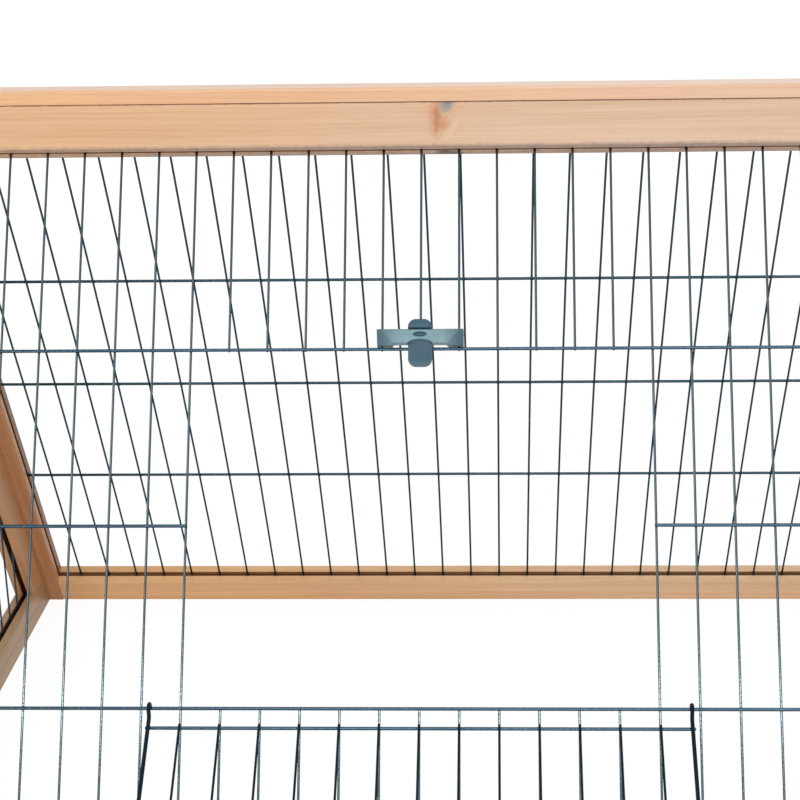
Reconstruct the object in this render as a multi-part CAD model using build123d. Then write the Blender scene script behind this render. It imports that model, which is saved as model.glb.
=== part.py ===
from build123d import *
import os
from math import asin, atan2, cos, degrees, floor, hypot, radians, sin, tan

# Triangular run for small animals: two grooved timber panels lean together under a ridge cap,
# welded wire stands in the grooves, and a wire door hangs on one wire of the front panel.
# Millimetres. X runs along the ridge, the door side faces -Y, the ground is Z = 0, and the origin
# lies under the middle of the whole with the door let down.

# The whole run.
RUN_LENGTH = 1150.0
PANEL_SLOPE = 570.0
LEAN = radians(30.0)

# Planed timber strips. Slopes are measured down a panel from the apex line.
TIMBER = 17.5
TOP_RAIL_SLOPE = 36.0
BOTTOM_RAIL_WIDTH = 28.0
STILE_WIDTH = 30.0
END_STRIP_WIDTH = 28.0
CAP_HEIGHT = 9.5
CAP_CHAMFER = 1.0
GROOVE_DEPTH = 8.0
GROOVE_PLAY = 0.2
TENON_PLAY = 0.2
TENON_END_GAP = 0.5
TENON_SHOULDER = 4.0

# Welded wire. Upright wires are counted from the middle of the run, number 0.
UPRIGHT_DIA = 1.6
UPRIGHT_SIDES = 10
CROSS_DIA = 2.2
CROSS_SIDES = 12
WELD_GAP = 0.05
WIRE_TIP = 1.0
UPRIGHT_PITCH = 25.0
UPRIGHT_EDGE_ROOM = 8.0
OPENING_TOP_SLOPE = 171.0
CROSS_PITCH = 115.0
END_CROSS_HEIGHTS = (130.0, 245.0, 360.0)
END_STUB = 40.0

# Door opening: the upright wires on its two sides.
OPENING_LEFT_WIRE = -14
OPENING_RIGHT_WIRE = -2

# Door. Its frame is one thick wire whose two ends hook over the hinge wire.
FRAME_DIA = 2.6
FRAME_SIDES = 12
FRAME_SIDE_OVERLAP = 19.5
FRAME_CORNER_RADIUS = 9.0
FREE_EDGE_GAP = 5.0
HOOK_PLAY = 0.3
HOOK_WRAP = radians(200.0)
HOOK_BEND = radians(60.0)
HOOK_BEND_RADIUS = 4.0
DOOR_PLAY = 0.3
DOOR_FIRST_CROSS = 11.0
DOOR_CROSS_COUNT = 3
DOOR_STOP_GAP = 0.3

# Drop latch: a guide clipped on two upright wires above the opening, and a tab that slides in it.
GUIDE_HEIGHT = 9.9
GUIDE_WIRE_GAP = 0.3
GUIDE_OVERHANG = 3.0
GUIDE_LEG_WIDTH = 10.0
GUIDE_OUTER_WALL = 3.0
GUIDE_INNER_WALL = 2.5
GUIDE_CORNER_FALL = 7.5
GUIDE_CORNER_RUN = 11.0
GUIDE_CORNER_TOP = 2.0
GUIDE_ROUNDING = 1.8
GUIDE_LIFT = 0.7
GUIDE_ARCH_HEIGHT = 3.2
CLIP_PLAY = 0.1
CLIP_LIP = 1.2
CLIP_MOUTH = 1.6
TAB_WIDTH = 15.5
TAB_THICKNESS = 3.0
TAB_REACH = 14.3
TAB_PLAY = 0.3
TAB_DOOR_GAP = 0.4
TAB_CORNER_RADIUS = 5.2
THUMB_LENGTH = 5.9
THUMB_OVERHANG = 1.2
THUMB_ROUNDING = 1.2
NIB_WIDTH = 3.0
NIB_LENGTH = 2.2
NIB_WIRE_GAP = 1.2
NIB_HEIGHT = 1.2
NIB_END = 1.0

# Countersunk screws.
SCREW_DIA = 4.0
SCREW_HEAD_DIA = 8.0
SCREW_SIDES = 8
SCREW_TIP = 3.0
SCREW_POINT_DIA = 0.8
SCREW_PLAY = 0.05
CORNER_SCREW_BITE = 25.0
END_SCREW_BITE = 16.0
END_SCREW_SLOPE = 120.0
SCREW_SPACING = 10.5

# Derived sizes of the timber triangle.
HALF_LENGTH = RUN_LENGTH / 2
HALF_TIMBER = TIMBER / 2
APEX_HEIGHT = PANEL_SLOPE * cos(LEAN) + HALF_TIMBER * sin(LEAN)
FULL_THICKNESS_SLOPE = HALF_TIMBER / tan(LEAN)
RAIL_END = HALF_LENGTH - STILE_WIDTH
BOTTOM_RAIL_SLOPE = PANEL_SLOPE - BOTTOM_RAIL_WIDTH
GROOVE_WIDTH = UPRIGHT_DIA + CROSS_DIA + WELD_GAP + 2 * GROOVE_PLAY

# Derived places of the wires, outward from a panel's middle plane.
UPRIGHT_OUT = -(CROSS_DIA + WELD_GAP) / 2
CROSS_OUT = (UPRIGHT_DIA + WELD_GAP) / 2
UPRIGHT_TOP = TOP_RAIL_SLOPE - GROOVE_DEPTH
UPRIGHT_FOOT = BOTTOM_RAIL_SLOPE + GROOVE_DEPTH
CROSS_END = RAIL_END + GROOVE_DEPTH
LAST_WIRE = floor((RAIL_END - UPRIGHT_EDGE_ROOM) / UPRIGHT_PITCH)
MIDDLE_CROSS_SLOPE = OPENING_TOP_SLOPE + CROSS_PITCH
HINGE_SLOPE = OPENING_TOP_SLOPE + 2 * CROSS_PITCH
OPENING_LEFT = OPENING_LEFT_WIRE * UPRIGHT_PITCH
OPENING_RIGHT = OPENING_RIGHT_WIRE * UPRIGHT_PITCH
OPENING_MIDDLE = (OPENING_LEFT + OPENING_RIGHT) / 2

# Derived places on the door: along it from the hinge wire, and out from the hinge wire.
HOOK_RADIUS = CROSS_DIA / 2 + HOOK_PLAY + FRAME_DIA / 2
DOOR_OUT = CROSS_DIA / 2 + DOOR_PLAY + FRAME_DIA / 2
DOOR_CROSS_OUT = DOOR_OUT + FRAME_DIA / 2 + WELD_GAP + CROSS_DIA / 2
DOOR_UPRIGHT_OUT = DOOR_OUT + FRAME_DIA / 2 - UPRIGHT_DIA / 2
FREE_EDGE = HINGE_SLOPE - OPENING_TOP_SLOPE - FREE_EDGE_GAP
DOOR_LEFT = OPENING_LEFT - FRAME_SIDE_OVERLAP
DOOR_RIGHT = OPENING_RIGHT + FRAME_SIDE_OVERLAP
DOOR_CROSS_PITCH = (FREE_EDGE - DOOR_FIRST_CROSS) / DOOR_CROSS_COUNT
HINGE_HEIGHT = APEX_HEIGHT - HINGE_SLOPE * cos(LEAN) + CROSS_OUT * sin(LEAN)


def lowered_door_angle():
    """The let-down door's fall below level: its first cross wire lies on the upright wires below
    the hinge wire, or its free edge on the ground, whichever comes first."""
    stop_arm = hypot(DOOR_FIRST_CROSS, DOOR_CROSS_OUT)
    stop_fold = asin((DOOR_STOP_GAP - WELD_GAP) / stop_arm)
    panel_gap = atan2(DOOR_CROSS_OUT, DOOR_FIRST_CROSS) + stop_fold
    on_wires = radians(90) - LEAN - panel_gap
    edge_arm = hypot(FREE_EDGE, DOOR_OUT)
    edge_fall = min(1.0, (HINGE_HEIGHT - FRAME_DIA / 2) / edge_arm)
    on_ground = asin(edge_fall) - atan2(DOOR_OUT, FREE_EDGE)
    return min(on_wires, on_ground)


DOOR_FALL = lowered_door_angle()
DOOR_SWING = radians(90) + LEAN + DOOR_FALL
HINGE_REACH = HINGE_SLOPE * sin(LEAN) + CROSS_OUT * cos(LEAN)
DOOR_REACH = FREE_EDGE * cos(DOOR_FALL) - DOOR_OUT * sin(DOOR_FALL) + FRAME_DIA / 2
FRONT_REACH = HINGE_REACH + DOOR_REACH
BACK_REACH = PANEL_SLOPE * sin(LEAN) + HALF_TIMBER * cos(LEAN)
RIDGE_Y = (FRONT_REACH - BACK_REACH) / 2

# Panel frames: local x along the ridge, y up the slope, z outward, origin on the apex line.
FRONT = Plane((0, RIDGE_Y, APEX_HEIGHT), x_dir=(1, 0, 0), z_dir=(0, -cos(LEAN), sin(LEAN)))
BACK = Plane((0, RIDGE_Y, APEX_HEIGHT), x_dir=(-1, 0, 0), z_dir=(0, cos(LEAN), sin(LEAN)))
# Door frame: local x along the hinge wire, y towards the free edge, z towards the outer side.
HINGE_POINT = (0, RIDGE_Y - HINGE_REACH, HINGE_HEIGHT)
DOOR = Plane(HINGE_POINT, x_dir=(1, 0, 0), z_dir=(0, sin(DOOR_FALL), -cos(DOOR_FALL)))


def strip(outline, x_from, x_to):
    """A timber strip along X from an outline in the Y-Z plane."""
    side = Plane((x_from, 0, 0), x_dir=(0, 1, 0), z_dir=(1, 0, 0))
    face = make_face(Polyline(*outline, close=True))
    return extrude(side * face, amount=x_to - x_from, dir=(1, 0, 0))


def block(x, y, z):
    """A box between two limits on each axis."""
    size = [max(limits) - min(limits) for limits in (x, y, z)]
    middle = [sum(limits) / 2 for limits in (x, y, z)]
    return Pos(*middle) * Box(*size)


def rod(start, end, diameter):
    """A straight round bar."""
    run = Vector(*end) - Vector(*start)
    return extrude(Plane(start, z_dir=run) * Circle(diameter / 2), amount=run.length)


def wire(start, end, diameter, sides):
    """A straight wire with a many-sided section."""
    run = Vector(*end) - Vector(*start)
    section = Plane(start, z_dir=run) * RegularPolygon(diameter / 2, sides)
    return extrude(section, amount=run.length)


def upright(start, end):
    return wire(start, end, UPRIGHT_DIA, UPRIGHT_SIDES)


def cross_wire(start, end):
    return wire(start, end, CROSS_DIA, CROSS_SIDES)


def screw(length, play=0.0):
    """A countersunk screw down -Z from its head at Z = 0, or with play the hole that takes it."""
    head = SCREW_HEAD_DIA / 2 + play
    shank = SCREW_DIA / 2 + play
    rings = [
        (head, 0),
        (shank, shank - head),
        (shank, SCREW_TIP - length),
        (SCREW_POINT_DIA / 2 + play, -length - play),
    ]
    return loft([Pos(0, 0, z) * RegularPolygon(r, SCREW_SIDES) for r, z in rings], ruled=True)


def drill(solid, holes):
    """A solid with the holes that reach into it taken out."""
    for hole in holes:
        solid = solid - hole
    return solid


def panel_outline(foot):
    """A panel strip's section from the ridge joint and the level cut under the cap to its foot."""
    return [
        (-HALF_TIMBER * tan(LEAN), HALF_TIMBER),
        (0, 0),
        (-FULL_THICKNESS_SLOPE, -HALF_TIMBER),
        (-foot, -HALF_TIMBER),
        (-foot, HALF_TIMBER),
    ]


HALF_GROOVE = GROOVE_WIDTH / 2
HALF_TENON = HALF_GROOVE - TENON_PLAY
TENON_END = CROSS_END - TENON_END_GAP
TOP_SCREW_SLOPE = (FULL_THICKNESS_SLOPE + UPRIGHT_TOP) / 2
BOTTOM_SCREW_SLOPE = (UPRIGHT_FOOT + PANEL_SLOPE) / 2
END_TOP = APEX_HEIGHT - HALF_TIMBER * sin(LEAN)
BASE_SCREW_SLOPE = BOTTOM_SCREW_SLOPE - SCREW_SPACING
CORNER_SCREW_LENGTH = STILE_WIDTH + CORNER_SCREW_BITE
END_SCREW_LENGTH = TIMBER + END_SCREW_BITE


def corner_screw_places():
    """Screws along the rails, in through the outer edges of the stiles."""
    places = []
    for side in (-1, 1):
        for slope in (TOP_SCREW_SLOPE, BOTTOM_SCREW_SLOPE):
            places.append(Pos(side * HALF_LENGTH, -slope, 0) * Rot(0, side * 90, 0))
    return places


def end_screw_places():
    """Screws square to a panel, in through the stiles to the end frames behind them."""
    places = []
    for side in (-1, 1):
        for slope in (END_SCREW_SLOPE, BASE_SCREW_SLOPE):
            places.append(Pos(side * (HALF_LENGTH - HALF_TIMBER), -slope, HALF_TIMBER))
    return places


def screws(places, length):
    """Screws in a panel's frame."""
    return [place * screw(length) for place in places]


def screw_holes(places, length):
    """The holes of those screws."""
    return [place * screw(length, SCREW_PLAY) for place in places]


CORNER_HOLES = screw_holes(corner_screw_places(), CORNER_SCREW_LENGTH)
END_HOLES = screw_holes(end_screw_places(), END_SCREW_LENGTH)


def tenons(slope_from, slope_to):
    """The stub tenons at both ends of a rail."""
    ends = []
    for side in (-1, 1):
        reach = (side * RAIL_END, side * TENON_END)
        ends.append(block(reach, (-slope_from, -slope_to), (-HALF_TENON, HALF_TENON)))
    return ends


def top_rail():
    rail = strip(panel_outline(TOP_RAIL_SLOPE), -RAIL_END, RAIL_END)
    groove = (-UPRIGHT_TOP, -TOP_RAIL_SLOPE)
    rail = rail - block((-RAIL_END, RAIL_END), groove, (-HALF_GROOVE, HALF_GROOVE))
    for tenon in tenons(FULL_THICKNESS_SLOPE, UPRIGHT_TOP):
        rail = rail + tenon
    return drill(rail, CORNER_HOLES)


def bottom_rail():
    along = (-RAIL_END, RAIL_END)
    rail = block(along, (-BOTTOM_RAIL_SLOPE, -PANEL_SLOPE), (-HALF_TIMBER, HALF_TIMBER))
    groove = (-BOTTOM_RAIL_SLOPE, -UPRIGHT_FOOT)
    rail = rail - block(along, groove, (-HALF_GROOVE, HALF_GROOVE))
    for tenon in tenons(UPRIGHT_FOOT, PANEL_SLOPE - TENON_SHOULDER):
        rail = rail + tenon
    return drill(rail, CORNER_HOLES)


def stile(side):
    """A panel's stile: side is -1 at the low end of the panel's own x, and 1 at the high end."""
    inner, outer = side * RAIL_END, side * HALF_LENGTH
    post = strip(panel_outline(PANEL_SLOPE), min(inner, outer), max(inner, outer))
    groove_bottom = side * CROSS_END
    groove = block((inner, groove_bottom), (0, -PANEL_SLOPE), (-HALF_GROOVE, HALF_GROOVE))
    return drill(post - groove, CORNER_HOLES + END_HOLES)


def panel_upright(number, slope_from, slope_to):
    x = number * UPRIGHT_PITCH
    return upright((x, -slope_from, UPRIGHT_OUT), (x, -slope_to, UPRIGHT_OUT))


def panel_cross(x_from, x_to, slope):
    return cross_wire((x_from, -slope, CROSS_OUT), (x_to, -slope, CROSS_OUT))


def hinge_wire():
    """The cross wire under the opening, round where the door's hooks turn on it."""
    ends = [(x, -HINGE_SLOPE, CROSS_OUT) for x in (-CROSS_END, CROSS_END)]
    return rod(*ends, CROSS_DIA)


def front_uprights():
    """Full-length wires, and short ones above and below the door opening."""
    wires = []
    for number in range(-LAST_WIRE, LAST_WIRE + 1):
        if OPENING_LEFT_WIRE < number < OPENING_RIGHT_WIRE:
            wires.append(panel_upright(number, UPRIGHT_TOP, OPENING_TOP_SLOPE + WIRE_TIP))
            wires.append(panel_upright(number, HINGE_SLOPE - WIRE_TIP, UPRIGHT_FOOT))
        else:
            wires.append(panel_upright(number, UPRIGHT_TOP, UPRIGHT_FOOT))
    return wires


def back_uprights():
    numbers = range(-LAST_WIRE, LAST_WIRE + 1)
    return [panel_upright(number, UPRIGHT_TOP, UPRIGHT_FOOT) for number in numbers]


def front_cross_wires():
    """The wire over the opening, and the two that end at its sides."""
    return [
        panel_cross(-CROSS_END, CROSS_END, OPENING_TOP_SLOPE),
        panel_cross(-CROSS_END, OPENING_LEFT + WIRE_TIP, MIDDLE_CROSS_SLOPE),
        panel_cross(OPENING_RIGHT - WIRE_TIP, CROSS_END, MIDDLE_CROSS_SLOPE),
    ]


def back_cross_wires():
    slopes = (OPENING_TOP_SLOPE, MIDDLE_CROSS_SLOPE, HINGE_SLOPE)
    return [panel_cross(-CROSS_END, CROSS_END, slope) for slope in slopes]


def end_half_width(height, inset=0.0):
    """Half the width between the panels' inner faces at a height, less an inset square to them."""
    between = (END_TOP - height) * tan(LEAN) - HALF_TIMBER * cos(LEAN)
    return between - inset / cos(LEAN)


def end_height(half_width, inset=0.0):
    """The height at which the space between the panels, less the inset, is that wide."""
    return END_TOP - (half_width + HALF_TIMBER * cos(LEAN) + inset / cos(LEAN)) / tan(LEAN)


def end_limits(side):
    """Where an end frame lies along the ridge, flush with the end of the run."""
    limits = (side * HALF_LENGTH, side * (HALF_LENGTH - TIMBER))
    return min(limits), max(limits)


def end_groove(outline, side):
    middle = side * (HALF_LENGTH - HALF_TIMBER)
    return strip(outline, middle - HALF_GROOVE, middle + HALF_GROOVE)


def on_ridge(outline):
    return [(RIDGE_Y + y, z) for y, z in outline]


def placed_end_holes():
    """The end frame screws' holes, where the two panels stand."""
    return [hole.moved(plane.location) for plane in (FRONT, BACK) for hole in END_HOLES]


def end_base_rail(side):
    top = END_STRIP_WIDTH
    foot, shoulder = end_half_width(0), end_half_width(top)
    outline = on_ridge([(-foot, 0), (foot, 0), (shoulder, top), (-shoulder, top)])
    rail = strip(outline, *end_limits(side))
    bottom = top - GROOVE_DEPTH
    groove = on_ridge([(-foot, bottom), (foot, bottom), (foot, top), (-foot, top)])
    return drill(rail - end_groove(groove, side), placed_end_holes())


def end_stile(side, lean_side):
    """A sloping strip of an end frame: lean_side is -1 at the door side and 1 at the back."""
    base, inner = END_STRIP_WIDTH, END_STRIP_WIDTH - GROOVE_DEPTH

    def band(near, far):
        outline = [
            (lean_side * end_half_width(base, near), base),
            (lean_side * end_half_width(base, far), base),
            (0, end_height(0, far)),
            (0, end_height(0, near)),
        ]
        return on_ridge(outline)

    post = strip(band(0, END_STRIP_WIDTH), *end_limits(side))
    groove = end_groove(band(inner, END_STRIP_WIDTH), side)
    return drill(post - groove, placed_end_holes())


def end_uprights(side):
    """Upright wires between the base rail's groove and the sloping strips' grooves."""
    x = side * (HALF_LENGTH - HALF_TIMBER + UPRIGHT_OUT)
    inset = END_STRIP_WIDTH - GROOVE_DEPTH
    foot = END_STRIP_WIDTH - GROOVE_DEPTH
    widest = end_half_width(END_STRIP_WIDTH + END_STUB, END_STRIP_WIDTH)
    last = floor(widest / UPRIGHT_PITCH)
    wires = []
    for number in range(-last, last + 1):
        y = number * UPRIGHT_PITCH
        top = end_height(abs(y) + UPRIGHT_DIA / 2, inset)
        wires.append(upright((x, RIDGE_Y + y, foot), (x, RIDGE_Y + y, top)))
    return wires


def end_cross_wires(side):
    x = side * (HALF_LENGTH - HALF_TIMBER + CROSS_OUT)
    wires = []
    for height in END_CROSS_HEIGHTS:
        reach = end_half_width(height + CROSS_DIA / 2, END_STRIP_WIDTH - GROOVE_DEPTH)
        ends = (RIDGE_Y - reach, RIDGE_Y + reach)
        wires.append(cross_wire((x, ends[0], height), (x, ends[1], height)))
    return wires


def ridge_cap():
    """The square strip that closes the ridge, flush with the panels' outer faces."""
    half = HALF_TIMBER / cos(LEAN)
    across = (RIDGE_Y - half, RIDGE_Y + half)
    upward = (APEX_HEIGHT, APEX_HEIGHT + CAP_HEIGHT)
    cap = block((-HALF_LENGTH, HALF_LENGTH), across, upward)
    top_edges = cap.edges().filter_by(Axis.X).group_by(Axis.Z)[-1]
    return chamfer(top_edges, CAP_CHAMFER)


# Door pieces, in the door's own frame.
def hook_point(x, angle):
    return Vector(x, HOOK_RADIUS * cos(angle), HOOK_RADIUS * sin(angle))


def door_frame():
    """One bent wire: a hook over the hinge wire, a side, the free edge, a side and a hook."""
    leave = HOOK_BEND - radians(90)
    tip, crown = leave - HOOK_WRAP, leave - HOOK_WRAP / 2
    run = (DOOR_OUT - HOOK_RADIUS * sin(leave)) / sin(HOOK_BEND)
    bend = HOOK_RADIUS * cos(leave) + run * cos(HOOK_BEND)
    left_hook = ThreePointArc(*[hook_point(DOOR_LEFT, at) for at in (tip, crown, leave)])
    right_hook = ThreePointArc(*[hook_point(DOOR_RIGHT, at) for at in (leave, crown, tip)])
    loop = FilletPolyline(
        hook_point(DOOR_LEFT, leave),
        (DOOR_LEFT, bend, DOOR_OUT),
        (DOOR_LEFT, FREE_EDGE, DOOR_OUT),
        (DOOR_RIGHT, FREE_EDGE, DOOR_OUT),
        (DOOR_RIGHT, bend, DOOR_OUT),
        hook_point(DOOR_RIGHT, leave),
        radius=[HOOK_BEND_RADIUS, FRAME_CORNER_RADIUS, FRAME_CORNER_RADIUS, HOOK_BEND_RADIUS],
    )
    path = Wire(left_hook.edges() + loop.edges() + right_hook.edges())
    section = Plane(path @ 0, z_dir=path % 0) * RegularPolygon(FRAME_DIA / 2, FRAME_SIDES)
    return sweep(section, path=path)


def door_uprights():
    start = DOOR_FIRST_CROSS - CROSS_DIA / 2 - WIRE_TIP
    end = FREE_EDGE - FRAME_DIA / 2 - WELD_GAP
    wires = []
    for number in range(OPENING_LEFT_WIRE, OPENING_RIGHT_WIRE + 1):
        x = number * UPRIGHT_PITCH
        wires.append(upright((x, start, DOOR_UPRIGHT_OUT), (x, end, DOOR_UPRIGHT_OUT)))
    return wires


def door_cross_wires():
    """Wires across the outer side of the door, welded under its sides and uprights."""
    left = DOOR_LEFT - FRAME_DIA / 2 - WIRE_TIP
    right = DOOR_RIGHT + FRAME_DIA / 2 + WIRE_TIP
    wires = []
    for number in range(DOOR_CROSS_COUNT):
        along = DOOR_FIRST_CROSS + number * DOOR_CROSS_PITCH
        wires.append(cross_wire((left, along, DOOR_CROSS_OUT), (right, along, DOOR_CROSS_OUT)))
    return wires


# Latch pieces, in the front panel's frame.
GUIDE_FOOT_SLOPE = OPENING_TOP_SLOPE - CROSS_DIA / 2 - GUIDE_WIRE_GAP
GUIDE_TOP_SLOPE = GUIDE_FOOT_SLOPE - GUIDE_HEIGHT
TAB_IN = CROSS_OUT + DOOR_OUT + FRAME_DIA / 2 + TAB_DOOR_GAP
TAB_OUT = TAB_IN + TAB_THICKNESS
GUIDE_OUT = TAB_OUT + TAB_PLAY + GUIDE_OUTER_WALL
GUIDE_IN = TAB_IN - TAB_PLAY - GUIDE_INNER_WALL
CLIP_IN = UPRIGHT_OUT - UPRIGHT_DIA / 2 - CLIP_PLAY - CLIP_LIP
GUIDE_HALF = UPRIGHT_PITCH + GUIDE_OVERHANG
TAB_TIP_SLOPE = GUIDE_FOOT_SLOPE + TAB_REACH
THUMB_FOOT_SLOPE = GUIDE_TOP_SLOPE - TAB_PLAY
THUMB_TOP_SLOPE = THUMB_FOOT_SLOPE - THUMB_LENGTH
SLIDE_TRAVEL = TAB_REACH - NIB_END - NIB_LENGTH - TAB_PLAY


def guide_corner(side):
    """The plane that slopes the guide's face away to its lower corner at one end."""
    x = OPENING_MIDDLE + side * GUIDE_HALF
    top = Vector(x - side * GUIDE_CORNER_TOP, -GUIDE_TOP_SLOPE, GUIDE_OUT)
    shoulder = Vector(x - side * GUIDE_CORNER_RUN, -GUIDE_FOOT_SLOPE, GUIDE_OUT)
    foot = Vector(x, -GUIDE_FOOT_SLOPE, GUIDE_OUT - GUIDE_CORNER_FALL)
    outward = (shoulder - top).cross(foot - top) * side
    return Plane(top, x_dir=shoulder - top, z_dir=outward)


def latch_guide():
    """A bridge on two legs, slotted and arched for the tab, with a clip in each leg for a wire."""
    leg = GUIDE_HALF - GUIDE_LEG_WIDTH
    along = (-GUIDE_TOP_SLOPE, -GUIDE_FOOT_SLOPE)

    def across(half):
        return OPENING_MIDDLE - half, OPENING_MIDDLE + half

    guide = block(across(GUIDE_HALF), along, (CLIP_IN, GUIDE_OUT))
    brow = guide.edges().filter_by(Axis.X).group_by(Axis.Y)[-1].sort_by(Axis.Z)[-1]
    guide = fillet(brow, GUIDE_ROUNDING)
    for side in (-1, 1):
        guide = split(guide, bisect_by=guide_corner(side), keep=Keep.BOTTOM)
    guide = guide - block(across(leg), along, (CLIP_IN, GUIDE_IN))
    half_slot = TAB_WIDTH / 2 + TAB_PLAY
    guide = guide - block(across(half_slot), along, (TAB_IN - TAB_PLAY, TAB_OUT + TAB_PLAY))
    lifted = (-GUIDE_FOOT_SLOPE, -GUIDE_FOOT_SLOPE + GUIDE_LIFT)
    for side in (-1, 1):
        beside = [OPENING_MIDDLE + side * half for half in (half_slot, leg - GUIDE_LIFT)]
        guide = guide - block(beside, lifted, (CLIP_IN, GUIDE_OUT))
    mouth_face = Pos(OPENING_MIDDLE, -GUIDE_FOOT_SLOPE, TAB_OUT) * Ellipse(half_slot, GUIDE_ARCH_HEIGHT)
    guide = guide - extrude(mouth_face, amount=GUIDE_OUT - TAB_OUT)
    for x in across(UPRIGHT_PITCH):
        ends = [(x, slope, UPRIGHT_OUT) for slope in along]
        guide = guide - rod(*ends, UPRIGHT_DIA + 2 * CLIP_PLAY)
        mouth = (x - CLIP_MOUTH / 2, x + CLIP_MOUTH / 2)
        guide = guide - block(mouth, along, (UPRIGHT_OUT, CLIP_IN))
    return guide


def latch_slide():
    """The tab: a rounded plate with a thumb lip above the guide and two stop nibs behind its tip."""
    middle = (THUMB_TOP_SLOPE + TAB_TIP_SLOPE) / 2
    length = TAB_TIP_SLOPE - THUMB_TOP_SLOPE
    outline = RectangleRounded(TAB_WIDTH, length, TAB_CORNER_RADIUS)
    plate = Pos(OPENING_MIDDLE, -middle, TAB_IN) * extrude(outline, amount=TAB_THICKNESS)
    across = (OPENING_MIDDLE - TAB_WIDTH / 2, OPENING_MIDDLE + TAB_WIDTH / 2)
    thumb_out = GUIDE_OUT + THUMB_OVERHANG
    lip = block(across, (-THUMB_TOP_SLOPE, -THUMB_FOOT_SLOPE), (TAB_IN, thumb_out))
    top_corners = lip.edges().filter_by(Axis.Z).group_by(Axis.Y)[-1]
    lip = fillet(top_corners, TAB_CORNER_RADIUS)
    lip = fillet(lip.faces().sort_by(Axis.Z)[-1].edges(), THUMB_ROUNDING)
    nib_foot = TAB_TIP_SLOPE - NIB_END
    nib_along = (-nib_foot, -nib_foot + NIB_LENGTH)
    tab = plate + lip
    for side in (-1, 1):
        near = UPRIGHT_DIA / 2 + NIB_WIRE_GAP
        nib_across = [OPENING_MIDDLE + side * half for half in (near, near + NIB_WIDTH)]
        tab = tab + block(nib_across, nib_along, (TAB_IN - NIB_HEIGHT, TAB_IN))
    return tab


def place(shapes, plane):
    """Shapes made in a panel's or the door's frame, put where it stands."""
    shapes = shapes if isinstance(shapes, list) else [shapes]
    return [shape.moved(plane.location) for shape in shapes]


def write(name, shapes):
    """One file per named piece, or per group of like pieces."""
    shapes = shapes if isinstance(shapes, list) else [shapes]
    solids = [solid for shape in shapes for solid in shape.solids()]
    whole = solids[0] if len(solids) == 1 else Compound(children=solids)
    export_step(whole, os.path.join("parts", name + ".step"))


def write_panels():
    for name, plane in (("front", FRONT), ("back", BACK)):
        low, high = ("left", "right") if name == "front" else ("right", "left")
        write(name + "_top_rail", place(top_rail(), plane))
        write(name + "_bottom_rail", place(bottom_rail(), plane))
        write(name + "_" + low + "_stile", place(stile(-1), plane))
        write(name + "_" + high + "_stile", place(stile(1), plane))
    write("front_uprights", place(front_uprights(), FRONT))
    write("front_cross_wires", place(front_cross_wires(), FRONT))
    write("hinge_wire", place(hinge_wire(), FRONT))
    write("back_uprights", place(back_uprights(), BACK))
    write("back_cross_wires", place(back_cross_wires(), BACK))


def write_ends():
    for name, side in (("left_end", -1), ("right_end", 1)):
        write(name + "_base_rail", end_base_rail(side))
        write(name + "_front_stile", end_stile(side, -1))
        write(name + "_back_stile", end_stile(side, 1))
        write(name + "_uprights", end_uprights(side))
        write(name + "_cross_wires", end_cross_wires(side))


def write_screws():
    corner = screws(corner_screw_places(), CORNER_SCREW_LENGTH)
    through = screws(end_screw_places(), END_SCREW_LENGTH)
    write("corner_screws", place(corner, FRONT) + place(corner, BACK))
    write("end_frame_screws", place(through, FRONT) + place(through, BACK))


def write_door_and_latch():
    write("door_frame", place(door_frame(), DOOR))
    write("door_uprights", place(door_uprights(), DOOR))
    write("door_cross_wires", place(door_cross_wires(), DOOR))
    write("latch_guide", place(latch_guide(), FRONT))
    write("latch_slide", place(latch_slide(), FRONT))


os.makedirs("parts", exist_ok=True)
write("ridge_cap", ridge_cap())
write_panels()
write_ends()
write_screws()
write_door_and_latch()
print("ridge plane Y", round(RIDGE_Y, 3), "apex height", round(APEX_HEIGHT, 3))
print("hinge axis through", [round(value, 4) for value in HINGE_POINT])
print("door fall and swing", round(degrees(DOOR_FALL), 3), round(degrees(DOOR_SWING), 3))
print("latch travel", round(SLIDE_TRAVEL, 3), "up the slope", [round(v, 5) for v in FRONT.y_dir])
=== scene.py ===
# %% [markdown]
# # A triangular run for small animals
# Two grooved timber panels lean together under a ridge cap. Welded wire stands in the grooves, and a
# wire door hangs let down on one wire of the front panel.
# The CAD model is the fixed frame. It could be shown as it is, but its wires have flat sides and its
# strips have razor edges. So each piece is modelled again where it stands, or a copy of it is finished.

import math

import bmesh
import bpy
from mathutils import Matrix, Vector


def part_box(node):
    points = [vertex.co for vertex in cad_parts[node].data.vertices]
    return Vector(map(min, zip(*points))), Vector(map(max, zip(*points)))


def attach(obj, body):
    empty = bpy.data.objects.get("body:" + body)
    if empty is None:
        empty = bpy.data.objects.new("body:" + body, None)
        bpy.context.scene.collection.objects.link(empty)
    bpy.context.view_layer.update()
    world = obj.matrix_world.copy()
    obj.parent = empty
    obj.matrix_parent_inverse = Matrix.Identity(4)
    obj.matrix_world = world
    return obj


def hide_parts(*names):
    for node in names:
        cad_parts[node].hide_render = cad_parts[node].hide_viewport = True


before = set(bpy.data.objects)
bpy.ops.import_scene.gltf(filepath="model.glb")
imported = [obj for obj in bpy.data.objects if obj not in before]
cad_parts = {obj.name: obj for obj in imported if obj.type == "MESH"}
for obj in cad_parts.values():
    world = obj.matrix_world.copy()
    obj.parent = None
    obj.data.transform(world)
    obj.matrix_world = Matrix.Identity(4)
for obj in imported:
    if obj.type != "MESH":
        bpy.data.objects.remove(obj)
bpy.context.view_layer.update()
MM = 0.001

# %% [markdown]
# Blender's operators act on all that is selected, and the loaded CAD nodes come in selected.
# These few helpers select one piece alone, open it in edit mode, close it again and hand it over.

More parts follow.
